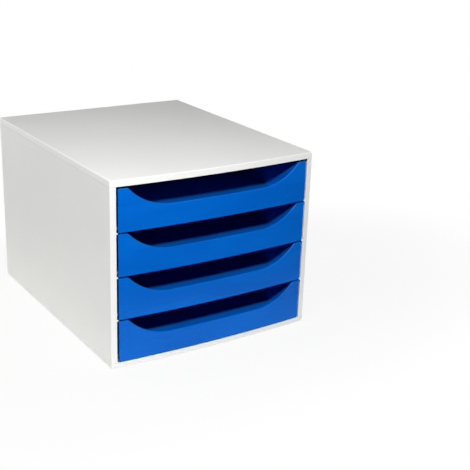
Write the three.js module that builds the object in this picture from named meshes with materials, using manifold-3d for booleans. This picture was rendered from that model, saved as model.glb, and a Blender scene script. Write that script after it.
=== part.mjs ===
// Desktop cabinet with four open drawers, moulded in plastic: a pale casing of five
// panels on four pads, and four blue trays that slide on ledges inside it.
// Millimetres. The origin is at the bottom centre, +Z is up, the fronts face -Y
// and +X is the right-hand side for someone who stands in front.
import * as THREE from 'three';
import { mergeVertices } from 'three/addons/utils/BufferGeometryUtils.js';
import Module from 'manifold-3d';

// Driving dimensions of the casing
const caseWidth = 284;
const caseDepth = 342; // along the sides, from the front edge to the back edge
const caseHeight = 234; // from the underside of the base to the top of the lid
const frontBow = 6; // the middle of the front stands this far ahead of its side edges
const skin = 2.5; // wall of every casing panel
const lidHeight = 7.7;
const baseHeight = 6.5;
const borderWidth = 7.7; // upright edge of the front frame, seen from the front
const edgeRound = 1.2; // along the top edge of the lid and the bottom edge of the base
const cornerRound = 1.5; // upright corners of the casing, in plan
const seat = 0.3; // clearance where one piece sits in or on another
const tongueWall = 2; // tongues of the side panels that reach into the lid and the base
const tongueRoot = 6; // height over which a tongue is joined to its side panel

// Driving dimensions of the drawers
const drawerCount = 4;
const travel = 250; // from shut to the stop
const frontGap = 2.1; // between one drawer front and the next
const bottomGap = 1.7; // under the lowest front
const topGap = 2.6; // over the highest front
const sideGap = 2.2; // between a front and the frame's upright edge
const frontWall = 2.5;
const frontProud = 0.8; // a front stands this far ahead of the frame around it
const frontCorner = 1.2; // rounding of a front's outer corners
const earWidth = 12.2; // full-height end of a front, outside the scoop
const earRound = 4; // rounding where the scoop meets the ear's top
const scoopDepth = 25.3;
const scoopRadius = 76; // the curve at each end of the scoop
const traySetIn = 5.1; // how far the tray's outer wall lies inside the front's side edge
const trayWall = 2;
const trayFloor = 2;
const floorRise = 2; // the front hangs this far below the underside of the floor
const wallDrop = 1; // the tray's walls stop this far below the top of the front
const rearGap = 3.7; // between a shut tray and the back panel
const rearCorner = 6; // rounding of the tray's back corners, in plan
const lugReach = 6.4; // the lug at each back corner stands out this far
const lugLength = 4;
const lugHeight = 8;

// Driving dimensions of the ledges, tips and stops on the side panels
const ledgeBearing = 5; // the ledge reaches this far in under the tray
const ledgeSetBack = 12; // the ledge starts this far behind the frame's upright edge
const tipReach = 2.4; // the frame's tip that shows between two fronts
const tipHeight = 3;
const tipSetBack = 0.5;
const stopWall = 3;
const stopHeight = 8;
const stopOverlap = 3.9; // a lug catches its stop over this width

// Driving dimensions of the pads
const footStand = 1; // the pads hold the casing this far off the table
const footRadius = 7;
const footSink = 1; // depth of each pad's pocket in the base
const footInset = 22; // from the casing's side and back edges to a pad's centre
const footFrontInset = 24;

// Counts of facets, and the overrun of cuts and joins
const bowSteps = 24;
const scoopSteps = 14;
const cornerSteps = 4;
const footSteps = 32;
const rimSteps = 2;
const overrun = 1;

// Sizes that follow from the ones above
const halfWidth = caseWidth / 2;
const backY = (caseDepth + frontBow + frontProud) / 2;
const frontMiddleY = backY - caseDepth - frontBow;
const plateMiddleY = frontMiddleY - frontProud;
const frontSideY = backY - caseDepth;
const bowRadius = (halfWidth ** 2 + frontBow ** 2) / (2 * frontBow);
const caseBottom = footStand;
const caseTop = footStand + caseHeight;
const openingBottom = caseBottom + baseHeight;
const openingTop = caseTop - lidHeight;
const openingHalf = halfWidth - borderWidth;
const innerHalf = halfWidth - skin;
const fittedHeight = openingTop - openingBottom - bottomGap - topGap;
const pitch = (fittedHeight + frontGap) / drawerCount;
const frontHeight = pitch - frontGap;
const frontHalf = openingHalf - sideGap;
const scoopFlat = frontHeight - scoopDepth;
const trayHalf = frontHalf - traySetIn;
const backPanelFront = backY - 2 * skin - seat;
const trayRear = backPanelFront - rearGap;
const ledgeInner = trayHalf - ledgeBearing;
const lugHalf = trayHalf + lugReach;
const lugRear = trayRear - rearCorner;
const lugFront = lugRear - lugLength;
const shellBottom = openingBottom + seat;
const shellTop = openingTop - seat;

const wasm = await Module();
wasm.setup();

// Height of the lower edge of drawer front number index, counted from the lowest.
function frontBottom(index) {
  return openingBottom + bottomGap + index * pitch;
}

// Y of the bowed front at x, or of a surface that lies setBack behind it.
function bowedY(x, setBack = 0) {
  return frontMiddleY + bowRadius - Math.sqrt((bowRadius - setBack) ** 2 - x ** 2);
}

// Points along the bowed front from one x to another.
function bowedPoints(fromX, toX, setBack = 0) {
  const steps = Math.max(1, Math.round((bowSteps * Math.abs(toX - fromX)) / caseWidth));
  return Array.from({ length: steps + 1 }, (unused, i) => {
    const x = fromX + ((toX - fromX) * i) / steps;
    return new THREE.Vector2(x, bowedY(x, setBack));
  });
}

// Points of a circular arc from one angle to another.
function arcPoints(centreX, centreY, radius, fromAngle, toAngle, steps) {
  return Array.from({ length: steps + 1 }, (unused, i) => {
    const angle = fromAngle + ((toAngle - fromAngle) * i) / steps;
    return new THREE.Vector2(centreX + radius * Math.cos(angle), centreY + radius * Math.sin(angle));
  });
}

// The corner of an outline, replaced by an arc that touches both of its edges.
function roundCorner(before, corner, after, radius) {
  const toBefore = before.clone().sub(corner).normalize();
  const toAfter = after.clone().sub(corner).normalize();
  const halfAngle = Math.acos(toBefore.dot(toAfter)) / 2;
  const centre = toBefore.clone().add(toAfter).normalize();
  centre.multiplyScalar(radius / Math.sin(halfAngle)).add(corner);
  const reach = radius / Math.tan(halfAngle);
  const from = corner.clone().addScaledVector(toBefore, reach).sub(centre);
  const to = corner.clone().addScaledVector(toAfter, reach).sub(centre);
  const turn = Math.atan2(from.cross(to), from.dot(to));
  return arcPoints(centre.x, centre.y, radius, from.angle(), from.angle() + turn, cornerSteps);
}

// A closed outline whose corners may carry a rounding: corners is a list of points, and
// rounds maps a point's place in that list to its radius.
function outline(corners, rounds = {}) {
  return corners.flatMap((corner, i) => {
    const radius = rounds[i];
    if (!radius) {
      return [corner];
    }
    const before = corners[(i + corners.length - 1) % corners.length];
    const after = corners[(i + 1) % corners.length];
    return roundCorner(before, corner, after, radius);
  });
}

// A closed three.js geometry as a solid that can be cut and joined.
function solidOf(geometry) {
  const plain = geometry.clone();
  plain.deleteAttribute('normal');
  plain.deleteAttribute('uv');
  const merged = mergeVertices(plain);
  return new wasm.Manifold(new wasm.Mesh({
    numProp: 3,
    vertProperties: new Float32Array(merged.attributes.position.array),
    triVerts: new Uint32Array(merged.index.array),
  }));
}

// A plan outline, raised from one height to another.
function upright(points, bottom, top) {
  const shape = new THREE.Shape(points);
  const geometry = new THREE.ExtrudeGeometry(shape, { depth: top - bottom, bevelEnabled: false });
  return solidOf(geometry.translate(0, 0, bottom));
}

// A front outline in x and z, run through from one y to another.
function through(points, nearY, farY) {
  const shape = new THREE.Shape(points);
  const geometry = new THREE.ExtrudeGeometry(shape, { depth: farY - nearY, bevelEnabled: false });
  return solidOf(geometry.rotateX(Math.PI / 2).translate(0, farY, 0));
}

// A box that spans three pairs of places, each pair in either order.
function block(spanX, spanY, spanZ) {
  const spans = [spanX, spanY, spanZ];
  const size = spans.map(([from, to]) => Math.abs(to - from));
  const middle = spans.map(([from, to]) => (from + to) / 2);
  return solidOf(new THREE.BoxGeometry(...size).translate(...middle));
}

// A cut and joined solid, back as a three.js geometry.
function geometryOf(solid) {
  const mesh = solid.getMesh();
  const geometry = new THREE.BufferGeometry();
  geometry.setAttribute('position', new THREE.BufferAttribute(new Float32Array(mesh.vertProperties), 3));
  geometry.setIndex(new THREE.BufferAttribute(new Uint32Array(mesh.triVerts), 1));
  geometry.computeVertexNormals();
  return geometry;
}

// Plan of the casing, drawn in by inset, with its upright corners rounded.
function casePlan(inset, round) {
  const front = bowedPoints(-halfWidth + inset, halfWidth - inset, inset);
  const rear = [
    new THREE.Vector2(halfWidth - inset, backY - inset),
    new THREE.Vector2(-halfWidth + inset, backY - inset),
  ];
  const last = front.length - 1;
  const rounds = { 0: round, [last]: round, [last + 1]: round, [last + 2]: round };
  return outline([...front, ...rear], rounds);
}

// A shallow closed tray in the casing's plan, with one softened rim: the lid and the base.
function cover(bottom, top) {
  const geometry = new THREE.ExtrudeGeometry(new THREE.Shape(casePlan(0, cornerRound)), {
    depth: top - bottom - 2 * edgeRound,
    bevelEnabled: true,
    bevelThickness: edgeRound,
    bevelSize: edgeRound,
    bevelOffset: -edgeRound,
    bevelSegments: rimSteps,
  });
  return solidOf(geometry.translate(0, 0, bottom + edgeRound));
}

// Lid: a flat top with a rim all round that drops over the side and back panels.
function lid() {
  const bulk = cover(openingTop - overrun - edgeRound, caseTop);
  const under = [openingTop - 2 * (overrun + edgeRound), openingTop];
  const below = block([-caseWidth, caseWidth], [-caseDepth, caseDepth], under);
  const hollow = upright(casePlan(skin, 0), openingTop - overrun, caseTop - skin);
  return bulk.subtract(below).subtract(hollow);
}

// The pads' places, as seen from above.
function footPlaces() {
  const sideX = halfWidth - footInset;
  const nearY = frontSideY + footFrontInset;
  const farY = backY - footInset;
  return {
    front_left: [-sideX, nearY],
    front_right: [sideX, nearY],
    back_left: [-sideX, farY],
    back_right: [sideX, farY],
  };
}

// Base: the same tray the other way up, with a pocket for each pad in its underside.
function base() {
  const bulk = cover(caseBottom, openingBottom + overrun + edgeRound);
  const over = [openingBottom, openingBottom + 2 * (overrun + edgeRound)];
  const above = block([-caseWidth, caseWidth], [-caseDepth, caseDepth], over);
  const hollow = upright(casePlan(skin, 0), caseBottom + skin, openingBottom + overrun);
  let piece = bulk.subtract(above).subtract(hollow);
  for (const [x, y] of Object.values(footPlaces())) {
    const pocket = arcPoints(x, y, footRadius + seat, 0, 2 * Math.PI, footSteps).slice(1);
    piece = piece.subtract(upright(pocket, caseBottom - overrun, caseBottom + footSink + seat));
  }
  return piece;
}

// Soft pad, glued in its pocket under the base.
function foot() {
  const geometry = new THREE.CylinderGeometry(footRadius, footRadius, footStand + footSink, footSteps);
  return geometry.rotateX(Math.PI / 2).translate(0, 0, (footStand + footSink) / 2);
}

// Back: a plain sheet between the side panels, inside the rims of the lid and the base.
function backPanel() {
  const half = innerHalf - seat;
  const spanY = [backPanelFront, backPanelFront + skin];
  return block([-half, half], spanY, [caseBottom + skin + seat, caseTop - skin - seat]);
}

// The skin of a side panel with the frame's upright edge turned in at its front.
function sideShell(side) {
  const front = bowedPoints(halfWidth, openingHalf);
  const frontInner = bowedPoints(openingHalf, innerHalf, skin);
  const rear = [new THREE.Vector2(innerHalf, backY), new THREE.Vector2(halfWidth, backY)];
  const corners = [...front, ...frontInner, ...rear];
  const points = outline(corners, { 0: cornerRound, [corners.length - 1]: cornerRound });
  const mirrored = points.map((point) => new THREE.Vector2(side * point.x, point.y));
  return upright(mirrored, shellBottom, shellTop);
}

// The ledge under one drawer. The one past the last drawer holds the highest tray down.
function ledge(side, index) {
  const nearY = frontSideY + skin + ledgeSetBack;
  const farY = backPanelFront - seat;
  const bottom = Math.max(frontBottom(index) - frontGap, shellBottom);
  const top = Math.min(frontBottom(index) + floorRise - seat, shellTop);
  return block([side * ledgeInner, side * (innerHalf + overrun)], [nearY, farY], [bottom, top]);
}

// A small wedge on the frame's upright edge, which shows between two fronts' corners.
function ledgeTip(side, index) {
  const middle = frontBottom(index) - frontGap / 2;
  const rootX = openingHalf + overrun;
  const points = [
    new THREE.Vector2(side * rootX, middle - tipHeight / 2),
    new THREE.Vector2(side * openingHalf, middle - tipHeight / 2),
    new THREE.Vector2(side * (openingHalf - tipReach), middle),
    new THREE.Vector2(side * openingHalf, middle + tipHeight / 2),
    new THREE.Vector2(side * rootX, middle + tipHeight / 2),
  ];
  const nearY = bowedY(openingHalf, tipSetBack);
  return through(points, nearY, frontSideY + skin);
}

// The stop that a drawer's back lug meets at the end of its travel.
function stop(side, index) {
  const farY = lugFront - travel - seat;
  const bottom = frontBottom(index) + floorRise - seat;
  const spanX = [side * (lugHalf - stopOverlap), side * (innerHalf + overrun)];
  return block(spanX, [farY - stopWall, farY], [bottom - overrun, bottom + stopHeight]);
}

// Side panel: shell, tongues for the lid and the base, ledges, their tips and the stops.
function sidePanel(side) {
  const tongueOuter = innerHalf - seat;
  const tongueInner = tongueOuter - tongueWall;
  const along = [frontSideY + skin + ledgeSetBack, backPanelFront - seat];
  const root = [side * tongueInner, side * (innerHalf + overrun)];
  const tongue = [side * tongueInner, side * tongueOuter];
  let piece = sideShell(side);
  piece = piece.add(block(root, along, [shellTop - tongueRoot, shellTop]));
  piece = piece.add(block(root, along, [shellBottom, shellBottom + tongueRoot]));
  piece = piece.add(block(tongue, along, [shellTop - tongueRoot, caseTop - skin - seat]));
  piece = piece.add(block(tongue, along, [caseBottom + skin + seat, shellBottom + tongueRoot]));
  for (let index = 0; index <= drawerCount; index += 1) {
    piece = piece.add(ledge(side, index));
  }
  for (let index = 1; index < drawerCount; index += 1) {
    piece = piece.add(ledgeTip(side, index));
  }
  for (let index = 0; index < drawerCount; index += 1) {
    piece = piece.add(stop(side, index));
  }
  return piece;
}

// The open space above a front: flat in the middle, with a large curve up to each ear.
function scoopOutline() {
  const earEdge = frontHalf - earWidth;
  const flatHalf = earEdge - Math.sqrt(2 * scoopRadius * scoopDepth - scoopDepth ** 2);
  const centreZ = scoopFlat + scoopRadius;
  const roundZ = frontHeight - earRound;
  const roundX = flatHalf + Math.sqrt((scoopRadius + earRound) ** 2 - (centreZ - roundZ) ** 2);
  const meetAngle = Math.atan2(roundZ - centreZ, roundX - flatHalf);
  const curve = arcPoints(flatHalf, centreZ, scoopRadius, -Math.PI / 2, meetAngle, scoopSteps);
  const turn = meetAngle + Math.PI;
  const corner = arcPoints(roundX, roundZ, earRound, turn, Math.PI / 2, cornerSteps).slice(1);
  const above = new THREE.Vector2(roundX, frontHeight + overrun);
  const right = [...curve, ...corner, above];
  const left = right.map((point) => new THREE.Vector2(-point.x, point.y)).reverse();
  return [...left, ...right];
}

// A drawer front without its scoop: a bowed plate with rounded outer corners.
function frontPlate() {
  const near = bowedPoints(-frontHalf, frontHalf, -frontProud);
  const far = bowedPoints(frontHalf, -frontHalf, frontWall - frontProud);
  const plate = upright([...near, ...far], 0, frontHeight);
  const corners = [
    new THREE.Vector2(-frontHalf, 0),
    new THREE.Vector2(frontHalf, 0),
    new THREE.Vector2(frontHalf, frontHeight),
    new THREE.Vector2(-frontHalf, frontHeight),
  ];
  const rounds = { 0: frontCorner, 1: frontCorner, 2: frontCorner, 3: frontCorner };
  const mask = through(outline(corners, rounds), plateMiddleY - overrun, frontSideY + frontWall + overrun);
  return plate.intersect(mask);
}

// Plan of the tray, drawn in by inset at its sides and back.
function trayPlan(inset, frontSetBack, round) {
  const front = bowedPoints(-trayHalf + inset, trayHalf - inset, frontSetBack);
  const rear = [
    new THREE.Vector2(trayHalf - inset, trayRear - inset),
    new THREE.Vector2(-trayHalf + inset, trayRear - inset),
  ];
  return outline([...front, ...rear], { [front.length]: round, [front.length + 1]: round });
}

// Drawer: one moulding, with a scooped front, a floor, three walls and a lug at each back
// corner. Its own origin is at the height of the front's lower edge.
function drawer() {
  const floorTop = floorRise + trayFloor;
  const wallTop = frontHeight - wallDrop;
  const tub = upright(trayPlan(0, frontWall / 2 - frontProud, rearCorner), floorRise, wallTop);
  const hollowPlan = trayPlan(trayWall, frontWall - frontProud, rearCorner - trayWall);
  const hollow = upright(hollowPlan, floorTop, frontHeight + overrun);
  const scoop = through(scoopOutline(), plateMiddleY - overrun, frontSideY + frontWall + overrun);
  let piece = tub.subtract(hollow).add(frontPlate()).subtract(scoop);
  const lugRoot = trayHalf - trayWall;
  for (const side of [-1, 1]) {
    const spanX = [side * lugRoot, side * lugHalf];
    piece = piece.add(block(spanX, [lugFront, lugRear], [floorRise, floorRise + lugHeight]));
  }
  return piece;
}

const paleCasing = new THREE.MeshStandardMaterial({ color: 0xe4e4e1, roughness: 0.45, metalness: 0 });
const blueDrawer = new THREE.MeshStandardMaterial({ color: 0x0a5fc8, roughness: 0.35, metalness: 0 });
const darkPad = new THREE.MeshStandardMaterial({ color: 0x2b2c2e, roughness: 0.9, metalness: 0 });

const cabinet = new THREE.Group();

function place(name, geometry, material, position = [0, 0, 0]) {
  const mesh = new THREE.Mesh(geometry, material.clone());
  mesh.name = name;
  mesh.position.set(...position);
  cabinet.add(mesh);
}

place('top_panel', geometryOf(lid()), paleCasing);
place('bottom_panel', geometryOf(base()), paleCasing);
place('left_side_panel', geometryOf(sidePanel(-1)), paleCasing);
place('right_side_panel', geometryOf(sidePanel(1)), paleCasing);
place('back_panel', geometryOf(backPanel()), paleCasing);

const drawerShape = geometryOf(drawer());
for (let number = 1; number <= drawerCount; number += 1) {
  place(`drawer_${number}`, drawerShape, blueDrawer, [0, 0, frontBottom(drawerCount - number)]);
}

for (const [corner, [x, y]] of Object.entries(footPlaces())) {
  place(`${corner}_foot`, foot(), darkPad, [x, y, 0]);
}

export default cabinet;
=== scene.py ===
import math

import bmesh
import bpy
from mathutils import Matrix, Vector


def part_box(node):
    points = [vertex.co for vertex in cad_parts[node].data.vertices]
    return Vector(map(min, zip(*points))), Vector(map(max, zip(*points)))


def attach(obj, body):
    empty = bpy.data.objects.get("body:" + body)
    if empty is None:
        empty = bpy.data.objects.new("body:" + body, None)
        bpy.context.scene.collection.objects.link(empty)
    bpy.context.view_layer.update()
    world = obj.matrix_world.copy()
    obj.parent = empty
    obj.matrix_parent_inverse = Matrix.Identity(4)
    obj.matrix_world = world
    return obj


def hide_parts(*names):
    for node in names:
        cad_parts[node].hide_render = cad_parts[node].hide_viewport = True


# The cabinet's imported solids, in metres: fronts towards -Y, +X to the right, +Z up.
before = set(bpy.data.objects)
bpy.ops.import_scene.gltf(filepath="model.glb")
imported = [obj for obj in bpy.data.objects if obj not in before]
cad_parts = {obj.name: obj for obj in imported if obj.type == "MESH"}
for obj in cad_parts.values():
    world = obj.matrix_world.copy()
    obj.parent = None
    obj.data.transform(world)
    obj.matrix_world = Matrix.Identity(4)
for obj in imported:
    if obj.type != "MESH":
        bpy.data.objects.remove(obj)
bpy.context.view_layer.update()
MM = 0.001

# Camera: it stands to the left of the fronts and above them, with a slight roll.
# Its place, angles and lens are those of a pinhole camera fitted to the casing's edges.
PHOTO_SIDE = 470
FOCAL_PIXELS = 959.0
SENSOR_WIDTH = 36.0
CAMERA_PLACE = Vector((-593.5, -1091.65, 547.2)) * MM
AZIMUTH = math.radians(-33.94)
ELEVATION = math.radians(19.97)
ROLL = math.radians(2.06)

lens = bpy.data.cameras.new("studio_camera")
lens.sensor_width = SENSOR_WIDTH
lens.lens = FOCAL_PIXELS / PHOTO_SIDE * SENSOR_WIDTH
camera = bpy.data.objects.new("studio_camera", lens)
bpy.context.collection.objects.link(camera)
backward = Vector((
    math.sin(AZIMUTH) * math.cos(ELEVATION),
    -math.cos(AZIMUTH) * math.cos(ELEVATION),
    math.sin(ELEVATION),
))
turned = backward.to_track_quat("Z", "Y").to_matrix() @ Matrix.Rotation(ROLL, 3, "Z")
camera.matrix_world = Matrix.Translation(CAMERA_PLACE) @ turned.to_4x4()
bpy.context.scene.camera = camera
bpy.context.scene.view_settings.view_transform = "Standard"


# Studio: a pale sheet on a darker table, seen as white, under a dim sky that is seen as white too.
# The key lamp is small and stands in front on the left. One softer lamp hangs high on the left,
# and two stand low, behind on the left and on the right.
def colour(code):
    """An sRGB hex value as the linear red, green, blue and alpha that a shader takes."""
    shares = [int(code[i:i + 2], 16) / 255 for i in (1, 3, 5)]
    linear = [s / 12.92 if s <= 0.04045 else ((s + 0.055) / 1.055) ** 2.4 for s in shares]
    return (*linear, 1.0)


def add(tree, kind, inputs=None, **settings):
    """A new node with its settings; an input takes a plain value or another node's output."""
    node = tree.nodes.new(kind)
    for name, value in settings.items():
        setattr(node, name, value)
    for name, value in (inputs or {}).items():
        if isinstance(value, bpy.types.NodeSocket):
            tree.links.new(value, node.inputs[name])
        else:
            node.inputs[name].default_value = value
    return node


def maths(tree, operation, *values):
    """The result of a maths node on plain values or other nodes' outputs."""
    return add(tree, "ShaderNodeMath", dict(enumerate(values)), operation=operation).outputs[0]


def new_material(name):
    """A material with an empty node tree, and that tree."""
    material = bpy.data.materials.new(name)
    material.use_nodes = True
    material.node_tree.nodes.clear()
    return material, material.node_tree


FLOOR_REACH = 6.0
WHITE = "#FFFFFF"
SHEET_COLOUR = "#D4D4D2"
TABLE_COLOUR = "#2A2A2A"
SKY_LIGHT = 0.004

# Near the cabinet the floor keeps a share of its true shade, so that the shadow shows, and
# farther out it is all white. Sideways, both fades reach farther than they do along Y.
SIDEWAYS_SHARE = 0.55
WHITE_NEAR = 0.88
WHITE_FROM = 0.20
WHITE_UNTIL = 0.38
SHEET_UNTIL = 0.25
DARK_FROM = 0.42

floor_mesh = bpy.data.meshes.new("table_top")
ways = ((-1, -1), (1, -1), (1, 1), (-1, 1))
corners = [(x * FLOOR_REACH, y * FLOOR_REACH, 0) for x, y in ways]
floor_mesh.from_pydata(corners, [], [(0, 1, 2, 3)])
table_top = bpy.data.objects.new("table_top", floor_mesh)
bpy.context.collection.objects.link(table_top)

white_table, tree = new_material("white_laminate_table")
rays = add(tree, "ShaderNodeLightPath")
place = add(tree, "ShaderNodeTexCoord").outputs["Object"]
drawn_in = add(tree, "ShaderNodeVectorMath", {
    0: place, 1: (SIDEWAYS_SHARE, 1.0, 1.0)}, operation="MULTIPLY")
away = add(tree, "ShaderNodeVectorMath", {0: drawn_in.outputs[0]}, operation="LENGTH")
share = add(tree, "ShaderNodeMapRange", {
    "Value": away.outputs["Value"], "From Min": WHITE_FROM, "From Max": WHITE_UNTIL,
    "To Min": WHITE_NEAR, "To Max": 1.0}, interpolation_type="SMOOTHSTEP")
seen = maths(tree, "MULTIPLY", rays.outputs["Is Camera Ray"], share.outputs[0])
reach = add(tree, "ShaderNodeMapRange", {
    "Value": away.outputs["Value"], "From Min": SHEET_UNTIL, "From Max": DARK_FROM},
    interpolation_type="SMOOTHSTEP")
paper = add(tree, "ShaderNodeMixRGB", {
    "Fac": reach.outputs[0], "Color1": colour(SHEET_COLOUR), "Color2": colour(TABLE_COLOUR)})
surface = add(tree, "ShaderNodeBsdfDiffuse", {"Color": paper.outputs[0]})
white = add(tree, "ShaderNodeEmission", {"Color": colour(WHITE), "Strength": 1.0})
both = add(tree, "ShaderNodeMixShader", {0: seen, 1: surface.outputs[0], 2: white.outputs[0]})
add(tree, "ShaderNodeOutputMaterial", {"Surface": both.outputs[0]})
floor_mesh.materials.append(white_table)

world = bpy.data.worlds.new("white_surround")
bpy.context.scene.world = world
world.use_nodes = True
tree = world.node_tree
tree.nodes.clear()
rays = add(tree, "ShaderNodeLightPath")
level = add(tree, "ShaderNodeMapRange", {
    "Value": rays.outputs["Is Camera Ray"], "To Min": SKY_LIGHT, "To Max": 1.0})
sky = add(tree, "ShaderNodeBackground", {"Color": colour(WHITE), "Strength": level.outputs[0]})
add(tree, "ShaderNodeOutputWorld", {"Surface": sky.outputs[0]})


def lamp(name, place, aim, size, power):
    """A square soft lamp that faces its aim."""
    light = bpy.data.lights.new(name, "AREA")
    light.size = size
    light.energy = power
    lamp_object = bpy.data.objects.new(name, light)
    bpy.context.collection.objects.link(lamp_object)
    lamp_object.location = place
    beam = Vector(aim) - Vector(place)
    lamp_object.rotation_euler = beam.to_track_quat("-Z", "Y").to_euler()


FRONT_CENTRE = (0.0, -0.16, 0.13)
CABINET_CENTRE = (0.0, -0.02, 0.12)
lamp("key_lamp", (-0.43, -0.96, 0.76), FRONT_CENTRE, size=0.06, power=11.7)
lamp("high_fill", (-0.465, -0.485, 1.356), CABINET_CENTRE, size=0.60, power=7.3)
lamp("low_rear_fill", (-0.689, 1.174, 0.363), CABINET_CENTRE, size=0.60, power=11.2)
lamp("low_right_fill", (1.50, -0.17, 0.12), CABINET_CENTRE, size=0.24, power=9.0)


# Lid: one off-white polystyrene moulding, a flat top with a rim all round that takes in the
# tongues of the side panels. Its front edge bows forward, its rim has a slight draft, and its
# outer edges are softly rounded.
LID_WALL = 2.5 * MM
FRONT_BOW = 6.0 * MM
PLAN_CORNER = 1.5 * MM
DRAFT = 0.3 * MM
RIM_ROUND = 0.8 * MM
RIM_PARTS = 5
SEAM_ROUND = 0.3 * MM
SEAM_PARTS = 2
BOW_PARTS = 64
CORNER_PARTS = 6
EDGE_WITHIN = 0.05 * MM
SHARP_FROM = math.radians(35)
SMOOTH_BELOW = math.radians(32)

case_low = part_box("bottom_panel")[0]
case_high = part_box("top_panel")[1]
half_width = case_high.x
front_middle = case_low.y
front_side = front_middle + FRONT_BOW
back_edge = case_high.y
bow_radius = (half_width ** 2 + FRONT_BOW ** 2) / (2 * FRONT_BOW)


def bow_y(x, set_back=0.0):
    """Y of the bowed front at x, or of the surface that lies set_back behind it."""
    return front_middle + bow_radius - math.sqrt((bow_radius - set_back) ** 2 - x ** 2)


def bowed_line(from_x, to_x, set_back=0.0):
    """Points along the bowed front, in plan."""
    parts = max(1, round(BOW_PARTS * abs(to_x - from_x) / (2 * half_width)))
    places = [from_x + (to_x - from_x) * i / parts for i in range(parts + 1)]
    return [Vector((x, bow_y(x, set_back))) for x in places]


def arc(centre, radius, start, turn, parts):
    """Points of a circular arc that starts at one angle and turns by another."""
    angles = [start + turn * i / parts for i in range(parts + 1)]
    return [centre + Vector((math.cos(a), math.sin(a))) * radius for a in angles]


def rounded(points, radii, parts=CORNER_PARTS):
    """The outline with arcs in place of some corners; radii maps a place in the list to a radius."""
    result = []
    for i, corner in enumerate(points):
        if not radii.get(i):
            result.append(corner)
            continue
        before = (points[i - 1] - corner).normalized()
        after = (points[(i + 1) % len(points)] - corner).normalized()
        half = before.angle(after) / 2
        centre = corner + (before + after).normalized() * (radii[i] / math.sin(half))
        reach = radii[i] / math.tan(half)
        start = corner + before * reach - centre
        end = corner + after * reach - centre
        turn = math.atan2(start.x * end.y - start.y * end.x, start.dot(end))
        result += arc(centre, radii[i], math.atan2(start.y, start.x), turn, parts)
    return result


def case_plan(inset, corner):
    """Plan of the casing, drawn in by an inset."""
    half = half_width - inset
    front = bowed_line(-half, half, inset)
    rear_edge = back_edge - inset
    rear = [Vector((half, rear_edge)), Vector((-half, rear_edge))]
    last = len(front) - 1
    return rounded(front + rear, {0: corner, last: corner, last + 1: corner, last + 2: corner})


def prism(name, points, span, upright=True, end_points=None):
    """A closed solid of the outline, run along Z, or else Y, from one end of the span to the other.

    Given end points, the outline changes into them on its way.
    """
    solid = bmesh.new()
    rings = []
    for level, ring in zip(span, (points, end_points or points)):
        places = [(p.x, p.y, level) if upright else (p.x, level, p.y) for p in ring]
        rings.append([solid.verts.new(place) for place in places])
    solid.faces.new(rings[0])
    solid.faces.new(rings[1])
    for i in range(len(points)):
        solid.faces.new((rings[0][i - 1], rings[0][i], rings[1][i], rings[1][i - 1]))
    bmesh.ops.recalc_face_normals(solid, faces=solid.faces)
    mesh = bpy.data.meshes.new(name)
    solid.to_mesh(mesh)
    solid.free()
    made = bpy.data.objects.new(name, mesh)
    bpy.context.collection.objects.link(made)
    return made


def soften(piece, width, parts, chosen):
    """Rounds the edges of a piece that a rule chooses."""
    solid = bmesh.new()
    solid.from_mesh(piece.data)
    solid.normal_update()
    edges = [e for e in solid.edges if e.is_manifold and chosen(e)]
    bmesh.ops.bevel(
        solid, geom=edges, offset=width, offset_type="OFFSET", segments=parts, profile=0.5,
        affect="EDGES", clamp_overlap=True)
    solid.to_mesh(piece.data)
    solid.free()


def settle(piece):
    """The piece with its modifiers applied, so that its shape is all in its mesh."""
    graph = bpy.context.evaluated_depsgraph_get()
    shaped = bpy.data.meshes.new_from_object(piece.evaluated_get(graph))
    piece.modifiers.clear()
    piece.data = shaped


def combine(piece, others, operation):
    """The piece joined with others, or cut by them; the others go."""
    for other in others:
        step = piece.modifiers.new("combine", "BOOLEAN")
        step.operation = operation
        step.solver = "EXACT"
        step.object = other
    settle(piece)
    for other in others:
        bpy.data.objects.remove(other)


def is_sharp(edge):
    """Whether the two faces at an edge make an outward corner."""
    return edge.is_convex and edge.calc_face_angle() > SHARP_FROM


def at_level(edge, z):
    """Whether both ends of an edge lie at one height."""
    return all(abs(v.co.z - z) < EDGE_WITHIN for v in edge.verts)


def on_side(edge):
    """Whether an edge runs along the casing's left or right outer face."""
    return all(abs(v.co.x) > half_width - EDGE_WITHIN for v in edge.verts)


def finish_piece(piece, node, body, material):
    """Smooth shading, the material, its body and the hiding of its CAD part, for one finished piece.
    """
    piece.data.materials.clear()
    piece.data.materials.append(material)
    piece.data.polygons.foreach_set("use_smooth", [True] * len(piece.data.polygons))
    piece.data.set_sharp_from_angle(angle=SMOOTH_BELOW)
    even = piece.modifiers.new("even_normals", "WEIGHTED_NORMAL")
    even.keep_sharp = True
    settle(piece)
    piece.data.name = piece.name
    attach(piece, body)
    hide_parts(node)


# Polystyrene, injection moulded with a fine satin grain: soft broad highlights, with no mirror.
# The grain is about 0.1 mm on the real part and is drawn at 0.5 mm, so that it shows at all.
CASING_COLOUR = "#F0F0EE"
CASING_SHADE = "#EDEEEB"
GRAIN_SCALE = 1 / (0.5 * MM)
WAVE_SCALE = 1 / (70 * MM)

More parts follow.
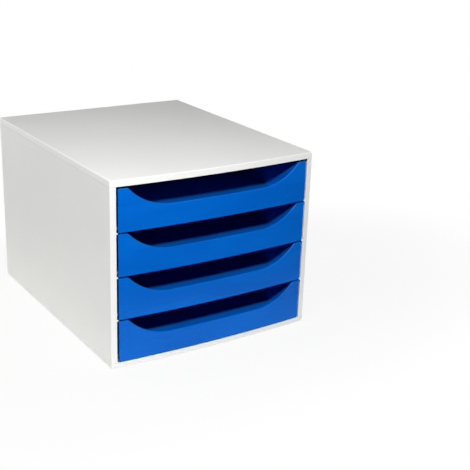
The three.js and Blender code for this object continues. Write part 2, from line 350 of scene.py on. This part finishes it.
casing_plastic, tree = new_material("satin_white_polystyrene")
place = add(tree, "ShaderNodeTexCoord").outputs["Object"]
grain = add(tree, "ShaderNodeTexNoise", {"Vector": place, "Scale": GRAIN_SCALE, "Detail": 2.0})
wave = add(tree, "ShaderNodeTexNoise", {"Vector": place, "Scale": WAVE_SCALE, "Detail": 1.0})
tint = add(tree, "ShaderNodeMixRGB", {
    "Fac": wave.outputs["Fac"], "Color1": colour(CASING_SHADE), "Color2": colour(CASING_COLOUR)})
gloss = add(tree, "ShaderNodeMapRange", {
    "Value": wave.outputs["Fac"], "To Min": 0.50, "To Max": 0.60})
fine = add(tree, "ShaderNodeBump", {
    "Height": grain.outputs["Fac"], "Strength": 0.10, "Distance": 0.05 * MM})
broad = add(tree, "ShaderNodeBump", {
    "Height": wave.outputs["Fac"], "Normal": fine.outputs["Normal"],
    "Strength": 0.3, "Distance": 0.6 * MM})
plastic = add(tree, "ShaderNodeBsdfPrincipled", {
    "Base Color": tint.outputs[0], "Roughness": gloss.outputs[0],
    "Normal": broad.outputs["Normal"], "IOR": 1.55, "Specular IOR Level": 0.15})
add(tree, "ShaderNodeOutputMaterial", {"Surface": plastic.outputs[0]})

lid_low, lid_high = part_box("top_panel")
seam_plan = case_plan(0.0, PLAN_CORNER)
drawn_plan = case_plan(DRAFT, PLAN_CORNER)
inner_plan = case_plan(LID_WALL, 0.0)
lid = prism("lid_shell", seam_plan, (lid_low.z, lid_high.z), end_points=drawn_plan)
soften(lid, RIM_ROUND, RIM_PARTS, lambda e: is_sharp(e) and at_level(e, lid_high.z))
hollow = prism("lid_hollow", inner_plan, (lid_low.z - LID_WALL, lid_high.z - LID_WALL))
combine(lid, [hollow], "DIFFERENCE")
soften(
    lid, SEAM_ROUND, SEAM_PARTS,
    lambda e: is_sharp(e) and at_level(e, lid_low.z) and on_side(e))
finish_piece(lid, "top_panel", "casing", casing_plastic)

# Base: the lid's twin the other way up, with a round pocket in its underside for each pad.
# The frame's lower border is thinned at its back, so that it ends in a fine lip.
PAD_NODES = ("front_left_foot", "front_right_foot", "back_left_foot", "back_right_foot")
POCKET_ROOM = 0.3 * MM
POCKET_PARTS = 48
POST_WIDTH = 7.7 * MM
LIP_WALL = 0.6 * MM

post_half = half_width - POST_WIDTH


def on_inner_front(edge):
    """Whether an edge runs along the back of the frame's lower border, between its upright edges."""
    return all(
        abs(v.co.x) < post_half and abs(v.co.y - bow_y(v.co.x, LID_WALL)) < EDGE_WITHIN
        for v in edge.verts)


base_low, base_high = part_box("bottom_panel")
base = prism("base_shell", drawn_plan, (base_low.z, base_high.z), end_points=seam_plan)
soften(base, RIM_ROUND, RIM_PARTS, lambda e: is_sharp(e) and at_level(e, base_low.z))
hollow = prism("base_hollow", inner_plan, (base_low.z + LID_WALL, base_high.z + LID_WALL))
cuts = [hollow]
for node in PAD_NODES:
    low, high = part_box(node)
    middle = (low + high) / 2
    pocket_radius = (high.x - low.x) / 2 + POCKET_ROOM
    ring = arc(middle.xy, pocket_radius, 0.0, 2 * math.pi, POCKET_PARTS)[1:]
    cuts.append(prism("pocket", ring, (low.z, high.z + POCKET_ROOM)))
combine(base, cuts, "DIFFERENCE")
soften(
    base, LID_WALL - LIP_WALL, parts=1,
    chosen=lambda e: at_level(e, base_high.z) and on_inner_front(e))
soften(
    base, SEAM_ROUND, SEAM_PARTS,
    lambda e: is_sharp(e) and at_level(e, base_high.z) and on_side(e))
finish_piece(base, "bottom_panel", "casing", casing_plastic)

# Side panels: each is one moulding with the frame's upright edge turned in at its front, ledges
# that the drawers run on, stops that end their travel, and tongues for the lid and the base.
# Small wedges on the upright edge show between the fronts.
DRAWER_NUMBERS = (1, 2, 3, 4)
SIDE_WALL = 2.5 * MM
SEAM_GAP = 0.3 * MM
SEAT = 0.3 * MM
TONGUE_WALL = 2.0 * MM
TONGUE_ROOT = 6.0 * MM
LEDGE_IN = 17.5 * MM
LEDGE_OVER = 1.7 * MM
LEDGE_BACK = 12.0 * MM
TIP_REACH = 2.4 * MM
TIP_HEIGHT = 3.0 * MM
TIP_BACK = 0.5 * MM
STOP_REACH = 10.0 * MM
STOP_HEIGHT = 8.0 * MM
STOP_WALL = 3.0 * MM
STOP_PLACE = -94.9 * MM
EDGE_ROUND = 0.45 * MM
OVERRUN = 1.0 * MM

inner_half = half_width - SIDE_WALL
drawer_lows = sorted(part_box(f"drawer_{number}")[0].z for number in DRAWER_NUMBERS)
pitch = (drawer_lows[-1] - drawer_lows[0]) / (len(drawer_lows) - 1)
front_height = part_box("drawer_1")[1].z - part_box("drawer_1")[0].z
front_gap = pitch - front_height
back_sheet_low, back_sheet_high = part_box("back_panel")
shell_low = base_high.z + SEAM_GAP
shell_high = lid_low.z - SEAM_GAP


def block(name, low, high):
    """A box between two corners, in either order."""
    xs, ys, zs = (sorted(pair) for pair in zip(low, high))
    plan = [Vector((xs[i], ys[j])) for i, j in ((0, 0), (1, 0), (1, 1), (0, 1))]
    return prism(name, plan, zs)


def new_shape_tree(name, inputs):
    """A Geometry Nodes tree with its sockets, and the node that hands out its inputs."""
    tree = bpy.data.node_groups.new(name, "GeometryNodeTree")
    tree.is_modifier = True
    for label, kind in {"Geometry": "Geometry", **inputs, "Material": "Material"}.items():
        tree.interface.new_socket(label, in_out="INPUT", socket_type=f"NodeSocket{kind}")
    tree.interface.new_socket("Geometry", in_out="OUTPUT", socket_type="NodeSocketGeometry")
    return tree, add(tree, "NodeGroupInput")


rungs, given = new_shape_tree("rungs_up_the_wall", {
    "Count": "Int", "Pitch": "Float", "Lowest": "Float", "Highest": "Float"})
step = add(rungs, "ShaderNodeCombineXYZ", {"Z": given.outputs["Pitch"]})
line = add(rungs, "GeometryNodeMeshLine", {
    "Count": given.outputs["Count"], "Offset": step.outputs[0]}, mode="OFFSET")
copies = add(rungs, "GeometryNodeInstanceOnPoints", {
    "Points": line.outputs["Mesh"], "Instance": given.outputs["Geometry"]})
real = add(rungs, "GeometryNodeRealizeInstances", {"Geometry": copies.outputs["Instances"]})
spot = add(rungs, "ShaderNodeSeparateXYZ", {
    "Vector": add(rungs, "GeometryNodeInputPosition").outputs[0]})
kept = add(rungs, "ShaderNodeClamp", {
    "Value": spot.outputs["Z"], "Min": given.outputs["Lowest"], "Max": given.outputs["Highest"]})
moved = add(rungs, "ShaderNodeCombineXYZ", {
    "X": spot.outputs["X"], "Y": spot.outputs["Y"], "Z": kept.outputs[0]})
shifted = add(rungs, "GeometryNodeSetPosition", {
    "Geometry": real.outputs[0], "Position": moved.outputs[0]})
coated = add(rungs, "GeometryNodeSetMaterial", {
    "Geometry": shifted.outputs[0], "Material": given.outputs["Material"]})
add(rungs, "NodeGroupOutput", {"Geometry": coated.outputs[0]})


def apply_tree(piece, tree, values):
    """Runs a Geometry Nodes tree on the piece with named inputs, and keeps the plain mesh."""
    step = piece.modifiers.new(tree.name, "NODES")
    step.node_group = tree
    for socket in tree.interface.items_tree:
        if socket.in_out == "INPUT" and socket.name in values:
            step[socket.identifier] = values[socket.name]
    settle(piece)


def up_the_wall(piece, count):
    """Copies of a rung, one drawer apart."""
    apply_tree(piece, rungs, {
        "Count": count, "Pitch": pitch, "Lowest": shell_low, "Highest": shell_high,
        "Material": casing_plastic})


seams = (shell_low, shell_high)
near = front_side + SIDE_WALL + LEDGE_BACK
far = back_sheet_low.y - SEAT
tongue_out = inner_half - SEAT
tongue_in = tongue_out - TONGUE_WALL
root = inner_half + OVERRUN
lowest = drawer_lows[0]
lowest_gap = lowest + pitch - front_gap / 2
tip_span = (bow_y(post_half, TIP_BACK), front_side + SIDE_WALL)

for side, word in ((-1, "left"), (1, "right")):
    front = bowed_line(half_width, post_half)
    turned_in = [Vector((post_half, bow_y(post_half, LIP_WALL)))]
    turned_in += bowed_line(post_half + SIDE_WALL - LIP_WALL, inner_half, SIDE_WALL)
    plan = front + turned_in + [Vector((inner_half, back_edge)), Vector((half_width, back_edge))]
    plan = rounded(plan, {0: PLAN_CORNER, len(front) - 1: EDGE_ROUND, len(plan) - 1: PLAN_CORNER})
    plan = [Vector((side * p.x, p.y)) for p in plan]
    panel = prism(f"{word}_side_shell", plan, seams)
    soften(
        panel, SEAM_ROUND, SEAM_PARTS,
        lambda e: is_sharp(e) and on_side(e) and any(at_level(e, z) for z in seams))

    additions = [
        block("root", (side * tongue_in, near, shell_high - TONGUE_ROOT),
              (side * root, far, shell_high)),
        block("root", (side * tongue_in, near, shell_low),
              (side * root, far, shell_low + TONGUE_ROOT)),
        block("tongue", (side * tongue_in, near, shell_high - OVERRUN),
              (side * tongue_out, far, lid_high.z - LID_WALL - SEAT)),
        block("tongue", (side * tongue_in, near, base_low.z + LID_WALL + SEAT),
              (side * tongue_out, far, shell_low + OVERRUN)),
    ]
    ledge_low = (side * (half_width - LEDGE_IN - SIDE_WALL), near, lowest - front_gap)
    ledge = block("ledge", ledge_low, (side * root, far, lowest + LEDGE_OVER))
    up_the_wall(ledge, len(DRAWER_NUMBERS) + 1)
    tip_outline = [
        Vector((side * (post_half + OVERRUN), lowest_gap - TIP_HEIGHT / 2)),
        Vector((side * post_half, lowest_gap - TIP_HEIGHT / 2)),
        Vector((side * (post_half - TIP_REACH), lowest_gap)),
        Vector((side * post_half, lowest_gap + TIP_HEIGHT / 2)),
        Vector((side * (post_half + OVERRUN), lowest_gap + TIP_HEIGHT / 2)),
    ]
    tip = prism("tip", tip_outline, tip_span, upright=False)
    up_the_wall(tip, len(DRAWER_NUMBERS) - 1)
    stop = block(
        "stop",
        (side * (inner_half - STOP_REACH), STOP_PLACE - STOP_WALL, lowest + LEDGE_OVER - OVERRUN),
        (side * root, STOP_PLACE, lowest + LEDGE_OVER + STOP_HEIGHT))
    up_the_wall(stop, len(DRAWER_NUMBERS))
    combine(panel, additions + [ledge, tip, stop], "UNION")
    finish_piece(panel, f"{word}_side_panel", "casing", casing_plastic)

# Back: a plain polystyrene sheet that closes the casing, inside the rims of the lid and base.
SHEET_ROUND = 0.4 * MM
SHEET_ROUND_PARTS = 2

back_sheet = block("back_sheet", back_sheet_low, back_sheet_high)
soften(back_sheet, SHEET_ROUND, SHEET_ROUND_PARTS, is_sharp)
finish_piece(back_sheet, "back_panel", "casing", casing_plastic)

# Pads: four soft grey rubber discs, glued into the base's pockets, with a rounded lower rim.
# Rubber of this kind is dull, with a fine speckle.
PAD_ROUND = 0.4 * MM
PAD_ROUND_PARTS = 3
PAD_PARTS = 48
RUBBER_COLOUR = "#35363A"
RUBBER_SHADE = "#232426"
SPECKLE_SCALE = 1 / (0.8 * MM)

pad_rubber, tree = new_material("dull_grey_rubber")
place = add(tree, "ShaderNodeTexCoord").outputs["Object"]
speckle = add(tree, "ShaderNodeTexNoise", {"Vector": place, "Scale": SPECKLE_SCALE, "Detail": 3.0})
shade = add(tree, "ShaderNodeMixRGB", {
    "Fac": speckle.outputs["Fac"], "Color1": colour(RUBBER_SHADE), "Color2": colour(RUBBER_COLOUR)})
rough = add(tree, "ShaderNodeBump", {
    "Height": speckle.outputs["Fac"], "Strength": 0.4, "Distance": 0.1 * MM})
rubber = add(tree, "ShaderNodeBsdfPrincipled", {
    "Base Color": shade.outputs[0], "Roughness": 0.85, "Normal": rough.outputs["Normal"]})
add(tree, "ShaderNodeOutputMaterial", {"Surface": rubber.outputs[0]})

for node in PAD_NODES:
    low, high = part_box(node)
    middle = (low + high) / 2
    ring = arc(middle.xy, (high.x - low.x) / 2, 0.0, 2 * math.pi, PAD_PARTS)[1:]
    pad = prism(node.replace("_foot", "_pad"), ring, (low.z, high.z))
    soften(pad, PAD_ROUND, PAD_ROUND_PARTS, lambda e: is_sharp(e) and at_level(e, low.z))
    finish_piece(pad, node, "casing", pad_rubber)

# Drawers: four like mouldings in bright blue polystyrene. Each has a bowed front with a wide
# scoop, and behind it a tray with a floor, two side walls and a back wall. A lug at each of
# the tray's back corners meets the side panel's stop when the drawer is pulled out.
FRONT_WALL = 2.5 * MM
FRONT_CORNER = 1.2 * MM
EAR_WIDTH = 12.2 * MM
EAR_ROUND = 4.0 * MM
SCOOP_DEPTH = 25.3 * MM
SCOOP_RADIUS = 76.0 * MM
SCOOP_PARTS = 28
FRONT_ROUND = 1.3 * MM
FRONT_ROUND_PARTS = 4
LOWER_SHARE = 0.4
SET_IN = 5.1 * MM
TRAY_WALL = 2.0 * MM
FLOOR_RISE = 2.0 * MM
WALL_DROP = 1.0 * MM
REAR_CORNER = 6.0 * MM
LUG_LENGTH = 4.0 * MM
LUG_HEIGHT = 8.0 * MM
TRAY_FILLET = 1.9 * MM
TRAY_FILLET_PARTS = 4
TRAY_ROUND = 0.6 * MM
TRAY_ROUND_PARTS = 3
BOW_CUTS = 48
SAME_SPOT = 0.0001 * MM
FADE_START = 8.0 * MM
FADE_END = 60.0 * MM
SIDE_GAP = 2.2 * MM

bowed, given = new_shape_tree("bowed_front", {
    "Bow Radius": "Float", "Full Until": "Float", "Gone From": "Float", "Lift": "Float"})
spot = add(bowed, "ShaderNodeSeparateXYZ", {
    "Vector": add(bowed, "GeometryNodeInputPosition").outputs[0]})
radius = given.outputs["Bow Radius"]
radius_square = maths(bowed, "MULTIPLY", radius, radius)
x_square = maths(bowed, "MULTIPLY", spot.outputs["X"], spot.outputs["X"])
reach = maths(bowed, "SQRT", maths(bowed, "SUBTRACT", radius_square, x_square))
sag = maths(bowed, "SUBTRACT", radius, reach)
fade = add(bowed, "ShaderNodeMapRange", {
    "Value": spot.outputs["Y"], "From Min": given.outputs["Full Until"],
    "From Max": given.outputs["Gone From"], "To Min": 1.0, "To Max": 0.0})
back_by = maths(bowed, "MULTIPLY", sag, fade.outputs[0])
shift = add(bowed, "ShaderNodeCombineXYZ", {"Y": back_by, "Z": given.outputs["Lift"]})
bent = add(bowed, "GeometryNodeSetPosition", {
    "Geometry": given.outputs["Geometry"], "Offset": shift.outputs[0]})
real = add(bowed, "GeometryNodeRealizeInstances", {"Geometry": bent.outputs[0]})
coated = add(bowed, "GeometryNodeSetMaterial", {
    "Geometry": real.outputs[0], "Material": given.outputs["Material"]})
add(bowed, "NodeGroupOutput", {"Geometry": coated.outputs[0]})

# Polystyrene in bright blue, moulded smooth: satin to glossy, with a faint mottle and long flow
# streaks. Shallow sink marks show on the front over the tray's side walls and along its floor.
DRAWER_COLOUR = "#0067CD"
STREAK_COLOUR = "#005EC1"
MOTTLE_SCALE = 1 / (1.6 * MM)
STREAK_SCALE = 1 / (30 * MM)
STREAK_DRAWN_OUT = (0.22, 0.22, 1.0)
SINK_AT_WALL = 123.5 * MM
SINK_AT_FLOOR = 3.5 * MM
SINK_REACH = 4.5 * MM
SINK_DEPTH = 0.12 * MM

drawer_plastic, tree = new_material("glossy_blue_polystyrene")
place = add(tree, "ShaderNodeTexCoord").outputs["Object"]
mottle = add(tree, "ShaderNodeTexNoise", {"Vector": place, "Scale": MOTTLE_SCALE, "Detail": 3.0})
drawn_out = add(tree, "ShaderNodeMapping", {"Vector": place, "Scale": STREAK_DRAWN_OUT})
streaks = add(tree, "ShaderNodeTexNoise", {
    "Vector": drawn_out.outputs[0], "Scale": STREAK_SCALE, "Detail": 1.0, "Distortion": 0.4})
streak = add(tree, "ShaderNodeMapRange", {
    "Value": streaks.outputs["Fac"], "From Min": 0.22, "From Max": 0.78},
    interpolation_type="SMOOTHSTEP")
tint = add(tree, "ShaderNodeMixRGB", {
    "Fac": streak.outputs[0], "Color1": colour(STREAK_COLOUR), "Color2": colour(DRAWER_COLOUR)})
gloss = add(tree, "ShaderNodeMapRange", {"Value": streak.outputs[0], "To Min": 0.25, "To Max": 0.31})
part = add(tree, "ShaderNodeSeparateXYZ", {"Vector": place})
across = maths(tree, "ABSOLUTE", part.outputs["X"])
above = maths(tree, "SUBTRACT", part.outputs["Z"], drawer_lows[0])
above_drawer = maths(tree, "FLOORED_MODULO", above, pitch)
marks = []
for distance, centre in ((across, SINK_AT_WALL), (above_drawer, SINK_AT_FLOOR)):
    away = maths(tree, "ABSOLUTE", maths(tree, "SUBTRACT", distance, centre))
    mark = add(tree, "ShaderNodeMapRange", {
        "Value": away, "From Max": SINK_REACH, "To Min": 1.0, "To Max": 0.0},
        interpolation_type="SMOOTHSTEP")
    marks.append(mark.outputs[0])
sunk = maths(tree, "MAXIMUM", *marks)
fine = add(tree, "ShaderNodeBump", {
    "Height": mottle.outputs["Fac"], "Strength": 0.35, "Distance": 0.10 * MM})
broad = add(tree, "ShaderNodeBump", {
    "Height": streak.outputs[0], "Normal": fine.outputs["Normal"],
    "Strength": 1.0, "Distance": 0.06 * MM})
dented = add(tree, "ShaderNodeBump", {
    "Height": sunk, "Normal": broad.outputs["Normal"],
    "Strength": 1.0, "Distance": SINK_DEPTH}, invert=True)
plastic = add(tree, "ShaderNodeBsdfPrincipled", {
    "Base Color": tint.outputs[0], "Roughness": gloss.outputs[0],
    "Normal": dented.outputs["Normal"], "IOR": 1.5, "Specular IOR Level": 0.16})
add(tree, "ShaderNodeOutputMaterial", {"Surface": plastic.outputs[0]})

front_half = post_half - SIDE_GAP
tray_half = front_half - SET_IN
drawer_low, drawer_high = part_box("drawer_1")
plate_front = drawer_low.y
tray_rear = drawer_high.y
tray_front = plate_front + FRONT_WALL / 2
lug_half = drawer_high.x
lug_root = tray_half - TRAY_WALL / 2
lug_back = tray_rear - REAR_CORNER
wall_top = front_height - WALL_DROP
floor_top = FLOOR_RISE + TRAY_WALL
plate_span = (plate_front, plate_front + FRONT_WALL)


def front_outline():
    """The front's outline in x and z, from its lower left corner: ears at both ends of the scoop."""
    ear_edge = front_half - EAR_WIDTH
    flat = ear_edge - math.sqrt(2 * SCOOP_RADIUS * SCOOP_DEPTH - SCOOP_DEPTH ** 2)
    centre = Vector((flat, front_height - SCOOP_DEPTH + SCOOP_RADIUS))
    ear_z = front_height - EAR_ROUND
    ear_x = flat + math.sqrt((SCOOP_RADIUS + EAR_ROUND) ** 2 - (centre.y - ear_z) ** 2)
    meet = math.atan2(ear_z - centre.y, ear_x - flat)
    curve = arc(centre, SCOOP_RADIUS, -math.pi / 2, meet + math.pi / 2, SCOOP_PARTS)
    ear_centre = Vector((ear_x, ear_z))
    ear = arc(ear_centre, EAR_ROUND, meet + math.pi, -math.pi / 2 - meet, CORNER_PARTS)
    right = curve + ear[1:] + [Vector((front_half, front_height)), Vector((front_half, 0.0))]
    left = [Vector((-p.x, p.y)) for p in reversed(right)]
    last = 2 * len(right) - 1
    return rounded(left + right, {place: FRONT_CORNER for place in (0, 1, last - 1, last)})


def round_rim(plate):
    """Rounds the plate's rim, more tightly along its lower edge than elsewhere."""
    solid = bmesh.new()
    solid.from_mesh(plate.data)
    solid.normal_update()
    weight = solid.edges.layers.float.new("bevel_weight_edge")
    for edge in solid.edges:
        rim = [face for face in edge.link_faces if abs(face.normal.y) < 0.5]
        if len(rim) == 1:
            edge[weight] = 1.0 - (1.0 - LOWER_SHARE) * max(0.0, -rim[0].normal.z) ** 2
    solid.to_mesh(plate.data)
    solid.free()
    step = plate.modifiers.new("rim", "BEVEL")
    step.limit_method = "WEIGHT"
    step.width = FRONT_ROUND
    step.segments = FRONT_ROUND_PARTS
    settle(plate)


def bend(piece, lift):
    """Bows the piece's front, with a bow that fades out behind the front, and lifts the piece."""
    solid = bmesh.new()
    solid.from_mesh(piece.data)
    for i in range(1, BOW_CUTS):
        x = front_half * (2 * i / BOW_CUTS - 1)
        bmesh.ops.bisect_plane(
            solid, geom=solid.verts[:] + solid.edges[:] + solid.faces[:], dist=SAME_SPOT,
            plane_co=(x, 0, 0), plane_no=(1, 0, 0))
    solid.to_mesh(piece.data)
    solid.free()
    apply_tree(piece, bowed, {
        "Bow Radius": bow_radius, "Full Until": plate_front + FADE_START,
        "Gone From": plate_front + FADE_END, "Lift": lift, "Material": drawer_plastic})


def tray_plan(inset, front, corner):
    """Plan of the straight tray: open to the front, with rounded back corners."""
    half = tray_half - inset
    rear = tray_rear - inset
    points = ((-half, front), (half, front), (half, rear), (-half, rear))
    return rounded([Vector(point) for point in points], {2: corner, 3: corner})


for number in DRAWER_NUMBERS:
    plate = prism(f"drawer_{number}_moulding", front_outline(), plate_span, upright=False)
    round_rim(plate)
    tub = prism("tub", tray_plan(0.0, tray_front, REAR_CORNER), (FLOOR_RISE, wall_top))
    soften(tub, TRAY_ROUND, TRAY_ROUND_PARTS, lambda e: is_sharp(e) and at_level(e, FLOOR_RISE))
    room_plan = tray_plan(TRAY_WALL, tray_front - OVERRUN, REAR_CORNER - TRAY_WALL)
    room = prism("room", room_plan, (floor_top, front_height + OVERRUN))
    soften(room, TRAY_FILLET, TRAY_FILLET_PARTS, lambda e: is_sharp(e) and at_level(e, floor_top))
    combine(tub, [room], "DIFFERENCE")
    soften(tub, TRAY_ROUND, TRAY_ROUND_PARTS, lambda e: is_sharp(e) and at_level(e, wall_top))
    lugs = [
        block("lug", (s * lug_root, lug_back - LUG_LENGTH, FLOOR_RISE),
              (s * lug_half, lug_back, FLOOR_RISE + LUG_HEIGHT))
        for s in (-1, 1)]
    combine(plate, [tub] + lugs, "UNION")
    bend(plate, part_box(f"drawer_{number}")[0].z)
    finish_piece(plate, f"drawer_{number}", f"drawer_{number}", drawer_plastic)
